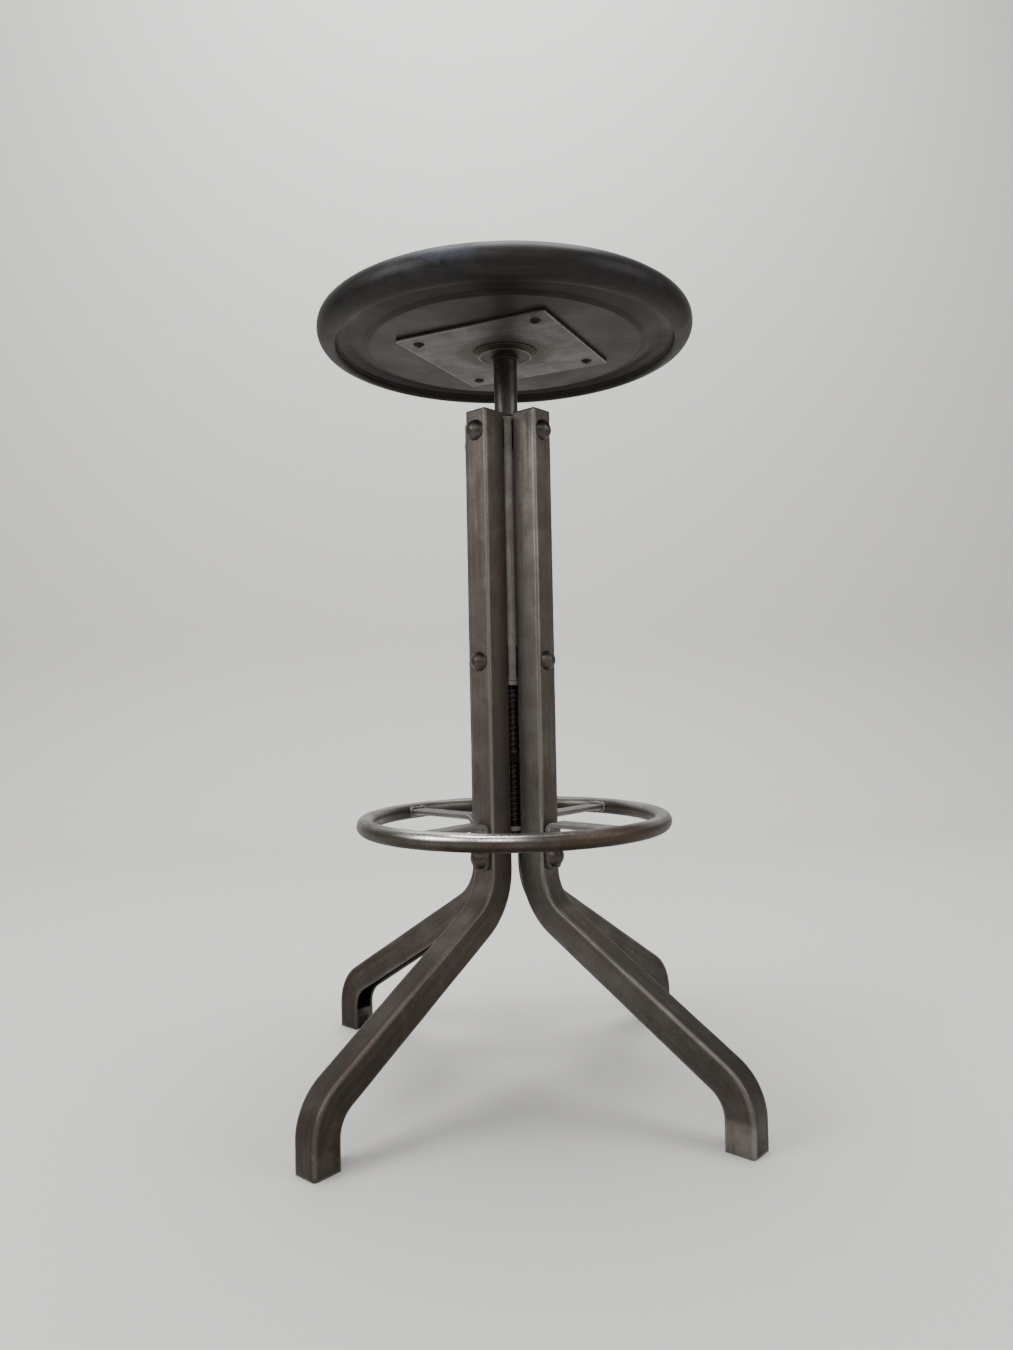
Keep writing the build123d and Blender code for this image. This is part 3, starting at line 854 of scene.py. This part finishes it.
def make_frame(materials):
    """Everything that stands still."""
    for place, angle in LEG_ANGLES.items():
        make_leg(place, angle, materials["leg_steel"])
        make_insert(place, angle, materials["insert_steel"])
        make_spoke(place, angle, materials["spoke_steel"])
        make_weld(place, angle, materials["spoke_steel"])
    make_ring(materials["ring_steel"])
    for row in RIVET_ROWS:
        make_rivets(row, materials["rivet_steel"])
    make_column_core(materials)


# ---------------------------------------------------------------- pieces that turn


def rim_painted_sheen(radius, height, angle):
    """How much painted bluish-grey sheen the seat gets: a long patch along the rim at the front left, faint
    elsewhere.
    """
    along = math.remainder(angle - math.radians(RIM_SHEEN_AT), 2 * math.pi)
    on_rim = ramp(radius, 163 * MM, 169 * MM)
    low = math.exp(-(((height - SEAT_TOP + 9 * MM) / (9 * MM)) ** 2))
    patch = math.exp(-((along / RIM_SHEEN_REACH) ** 4))
    return on_rim * (0.05 + 0.95 * patch * low)


def make_seat(material):
    """The turned wooden disc: a dished top, a bullnose rim, and a lip, a cove and a disc below."""
    low_rim = size_of("seat")[0].z
    rim = (SEAT_TOP - low_rim) / 2
    corners = [
        (0, DISC_Z),
        (DISC_RADIUS + 0.3 * MM, DISC_Z, 2 * MM),
        (DISC_RADIUS + 5 * MM, DISC_Z + 2.6 * MM, 8 * MM),
        (LIP_RADIUS - 8 * MM, DISC_Z + 7 * MM, 12 * MM),
        (LIP_RADIUS, DISC_Z + 4.3 * MM, 0.8 * MM),
        (LIP_RADIUS + 0.1 * MM, DISC_Z + 3 * MM, 0.4 * MM),
        (LIP_RADIUS + 0.9 * MM, DISC_Z + 2.6 * MM, 0.5 * MM),
        (LIP_RADIUS + 2.6 * MM, low_rim, 3.2 * MM),
        (SEAT_RADIUS, low_rim, rim * 0.98),
        (SEAT_RADIUS, SEAT_TOP, rim * 0.98),
        (DISH_RADIUS, SEAT_TOP, 60 * MM),
        (110 * MM, SEAT_TOP - 0.8 * DISH_DEPTH, 90 * MM),
        (0, SEAT_TOP - DISH_DEPTH),
    ]
    mesh = lathed("wooden_seat", corners, 1.8 * MM, 300, stain=rim_painted_sheen)
    weathered(mesh, 0.18 * MM, 45 * MM, 11)
    piece("wooden_seat", mesh, "seat", material, ["seat"], sharp=60)


def make_plate(material):
    """The square plate, with rubbed edges and painted shade round the boss."""
    half = PLATE_SIDE / 2
    line = rounded(rectangle(-half, half, half, PLATE_CORNER), 3 * MM)[0]
    side = outward(line)
    rings, flow, edge, stain = [], [], [], []
    soft = 0.7 * MM
    # Painted shade, darker and browner, on the underside round the boss
    for radius, darkening in PLATE_SHADE:
        shape = line / np.linalg.norm(line, axis=1, keepdims=True) * radius
        rings.append(np.column_stack((shape, np.full(len(line), PLATE_LOW))))
        flow.append(np.column_stack((shape, np.zeros(len(line)))))
        edge.append(np.full(len(line), -0.1 * darkening))
        stain.append(np.full(len(line), darkening))
    # The edge, from the underside up, as (height, how far inside the outline)
    stack = [(PLATE_LOW, 2.5 * soft), (PLATE_LOW, soft), (PLATE_LOW + 0.3 * soft, 0.3 * soft)]
    stack += [(PLATE_LOW + soft, 0), (DISC_Z - soft, 0), (DISC_Z - 0.3 * soft, 0.3 * soft), (DISC_Z, soft)]
    for height, inset in stack:
        shape = line - side * inset
        rings.append(np.column_stack((shape, np.full(len(line), height))))
        flow.append(np.column_stack((shape, np.zeros(len(line)))))
        edge.append(np.full(len(line), 1.0 if inset < 1.5 * soft else 0.0))
        stain.append(np.zeros(len(line)))
    mesh = mesh_of("seat_mounting_plate", np.array(rings), edge, flow, stain=stain)
    turned_mesh(mesh, PLATE_TURN)
    piece("seat_mounting_plate", mesh, "seat", material, ["seat_plate"], sharp=40)


def screw_mesh(name, seed):
    """A wood screw with its point up: a domed, slotted head under the plate and a plain shank."""
    lowest = PLATE_LOW - SCREW_CROWN
    tip = size_of("seat_screws")[1].z
    corners = [(r, lowest + drop) for r, drop in dome_profile(SCREW_HEAD, SCREW_CROWN)]
    corners += [(SCREW_SHANK, DISC_Z), (SCREW_SHANK, tip - 3 * MM), (0, tip)]
    mesh = lathed(name, corners, 0.3 * MM, 120, seed=seed)
    for v in mesh.vertices:
        if abs(v.co.y) < SLOT_WIDTH / 2:
            v.co.z = max(v.co.z, lowest + SCREW_SLOT)
    return mesh


def make_screws(material):
    """The four screws at the plate's corners, each turned its own way."""
    meshes = []
    for i, (x, y) in enumerate(((1, 1), (-1, 1), (-1, -1), (1, -1))):
        mesh = turned_mesh(screw_mesh(f"screw_{i}", i), 20 + 53 * i)
        mesh.transform(Matrix.Translation((x * SCREW_OFFSET, y * SCREW_OFFSET, 0)))
        meshes.append(turned_mesh(mesh, PLATE_TURN))
    mesh = joined("plate_screws", meshes)
    piece("plate_screws", mesh, "seat", material, ["seat_screws"], sharp=40)


def make_flange(material):
    """The bevelled boss under the plate, with the short neck that the spindle enters."""
    low, high, _ = size_of("seat_flange")
    face = low.z + NECK_HEIGHT
    corners = [
        (SPIGOT_RADIUS, low.z),
        (NECK_RADIUS, low.z, 0.8 * MM),
        (NECK_RADIUS, face, 1.2 * MM),
        (BOSS_FACE, face, 1.1 * MM),
        (BOSS_FACE + 1.3 * MM, face + 0.9 * MM, 0.8 * MM),
        (high.x, high.z - MM, 0.8 * MM),
        (high.x, high.z),
        (SPIGOT_RADIUS, high.z),
    ]

    # How much painted shade darkens the boss at a radius
    def shade_and_wear(radius):
        if BOSS_BEVEL[0] < radius < BOSS_BEVEL[1]:
            return 0.3
        return 0.85 if radius < BOSS_BEVEL[0] else 1.0

    mesh = lathed("seat_boss", corners, 0.7 * MM, 96, loop=True, shade_and_wear=shade_and_wear)
    weathered(mesh, 0.08 * MM, 12 * MM, 3)
    piece("seat_boss", mesh, "seat", material, ["seat_flange"], sharp=50)


def make_spindle(material):
    """The spindle: smooth above, and below it a right-handed thread that is really cut."""
    around = 64
    turns = np.linspace(0, 2 * math.pi, around, endpoint=False)
    thread = np.arange(SPINDLE_END + 1.5 * MM, THREAD_TOP, THREAD_PITCH / STEPS_A_TURN)
    shank = np.arange(THREAD_TOP + MM, NECK_LOW + 3 * MM, 3 * MM)
    rings, flow, edge = [], [], []

    def ring(height, radius, worn):
        x, y = radius * np.cos(turns), radius * np.sin(turns)
        rings.append(np.column_stack((x, y, np.full(around, height))))
        flow.append(rings[-1][:, (0, 2, 1)] * (1, 1, 3))
        edge.append(np.full(around, 1.0) * worn)

    core = THREAD_RADIUS - THREAD_DEPTH
    ring(SPINDLE_END, np.full(around, 0.75 * core), 0.0)
    ring(SPINDLE_END, np.full(around, core - 0.5 * MM), 0.0)
    ring(SPINDLE_END + 0.5 * MM, np.full(around, core), 0.0)
    for height in thread:
        phase = (height / THREAD_PITCH - turns / (2 * math.pi)) % 1.0
        rise = np.clip((0.36 - np.abs(phase - 0.5)) / 0.14, 0, 1)
        start = min(1.0, (height - thread[0]) / (3 * MM), (THREAD_TOP - height) / (2 * MM))
        ring(height, core + THREAD_DEPTH * rise * start, 0.1 * rise - 0.5)
    ring(THREAD_TOP, np.full(around, core), -0.5)
    for height in shank:
        radius = SHANK_RADIUS + 0.3 * MM * math.exp(-(((NECK_LOW - height) / (3 * MM)) ** 2))
        ring(height, np.full(around, radius - 0.02 * MM), 0.0)
    mesh = mesh_of("screw_spindle", np.array(rings), edge, flow)
    piece("screw_spindle", mesh, "seat", material, ["spindle"], sharp=40)


def make_moving(materials):
    """Everything that turns and rises with the seat."""
    make_seat(materials["seat_wood"])
    make_plate(materials["plate_steel"])
    make_screws(materials["dark_steel"])
    make_flange(materials["boss_steel"])
    make_spindle(materials["spindle_steel"])
    washer = lathed("end_washer", ring_section("stop_washer", WASHER_BORE), 1.5 * MM, 64, loop=True)
    piece("end_washer", washer, "lift", materials["dark_steel"], ["stop_washer"])


def finish_cad_nodes(materials):
    """Gives each CAD node that is still shown the material of its slot."""
    slots = {part["node"]: part["material_slot"] for part in frame["record"]["subparts"]}
    for name, node in frame["nodes"].items():
        if node.hide_render:
            continue
        node.data.materials.clear()
        node.data.materials.append(materials[slots[name]])


# ---------------------------------------------------------------- stage


def make_stage():
    """A plain pale floor that curves up into a plain pale wall."""
    across, back, front, height, bend = 4.0, 1.9, -3.5, 3.5, 0.5
    line = rounded([(front, 0), (back, 0, bend), (back, height)], 0.05, closed=False)[0]
    points = [(x, y, z) for x in (-across, across) for y, z in line]
    count = len(line)
    faces = [(i, count + i, count + i + 1, i + 1) for i in range(count - 1)]
    mesh = bpy.data.meshes.new("floor")
    mesh.from_pydata(points, [], faces)
    mesh.shade_smooth()
    s = Shader("floor", Roughness=0.9)
    s.surface.inputs["Base Color"].default_value = (0.56, 0.555, 0.54, 1)
    mesh.materials.append(s.material)
    floor = bpy.data.objects.new("floor", mesh)
    bpy.context.scene.collection.objects.link(floor)


def area_light(name, place, target, size, power):
    """A soft square light that looks at a point."""
    data = bpy.data.lights.new(name, "AREA")
    data.shape, data.size, data.energy = "SQUARE", size, power
    made = bpy.data.objects.new(name, data)
    made.location = place
    made.rotation_euler = (Vector(target) - Vector(place)).to_track_quat("-Z", "Y").to_euler()
    bpy.context.scene.collection.objects.link(made)


def make_lights():
    """Soft studio light, stronger from the left."""
    world = bpy.data.worlds.new("studio")
    world.use_nodes = True
    world.node_tree.nodes["Background"].inputs["Color"].default_value = (0.95, 0.97, 1.0, 1)
    world.node_tree.nodes["Background"].inputs["Strength"].default_value = 0.16
    bpy.context.scene.world = world
    middle = (0, 0, 0.4)
    area_light("key", (-1.9, -0.9, 1.5), middle, 1.1, 36)
    area_light("fill", (2.0, -1.1, 1.3), middle, 1.4, 24)
    area_light("front", (-0.6, -2.3, 1.9), middle, 0.8, 18)
    area_light("window", (0.45, -2.3, 1.5), middle, 0.6, 7)
    area_light("top", (-0.1, -0.1, 2.5), middle, 1.0, 15)
    area_light("wall", (0, 0.5, 3.1), (0, 1.9, 0.9), 2.0, 122)


def make_camera():
    """The camera in front of the stool, a little above its middle, tilted a trace up."""
    turn = math.radians(3.964)
    distance, height = 0.9154, 0.3594
    heading = turn - math.radians(0.2797)
    pitch, roll = math.radians(1.0252), math.radians(1.1229)
    level = Vector((math.sin(heading), math.cos(heading), 0))
    right = Vector((math.cos(heading), -math.sin(heading), 0))
    forward = level * math.cos(pitch) + Vector((0, 0, 1)) * math.sin(pitch)
    up = right.cross(forward)
    tilted = up * math.cos(roll) + right * math.sin(roll)
    data = bpy.data.cameras.new("camera")
    data.lens = 25.95
    camera = bpy.data.objects.new("camera", data)
    camera.location = (-distance * math.sin(turn), -distance * math.cos(turn), height)
    basis = [forward.cross(tilted), tilted, -forward]
    camera.rotation_mode = "QUATERNION"
    camera.rotation_quaternion = Matrix(basis).transposed().to_quaternion()
    data.clip_start, data.clip_end = 0.05, 20
    bpy.context.scene.collection.objects.link(camera)
    bpy.context.scene.camera = camera


make_camera()
make_lights()
make_stage()
materials = make_materials()
make_frame(materials)
make_moving(materials)
finish_cad_nodes(materials)
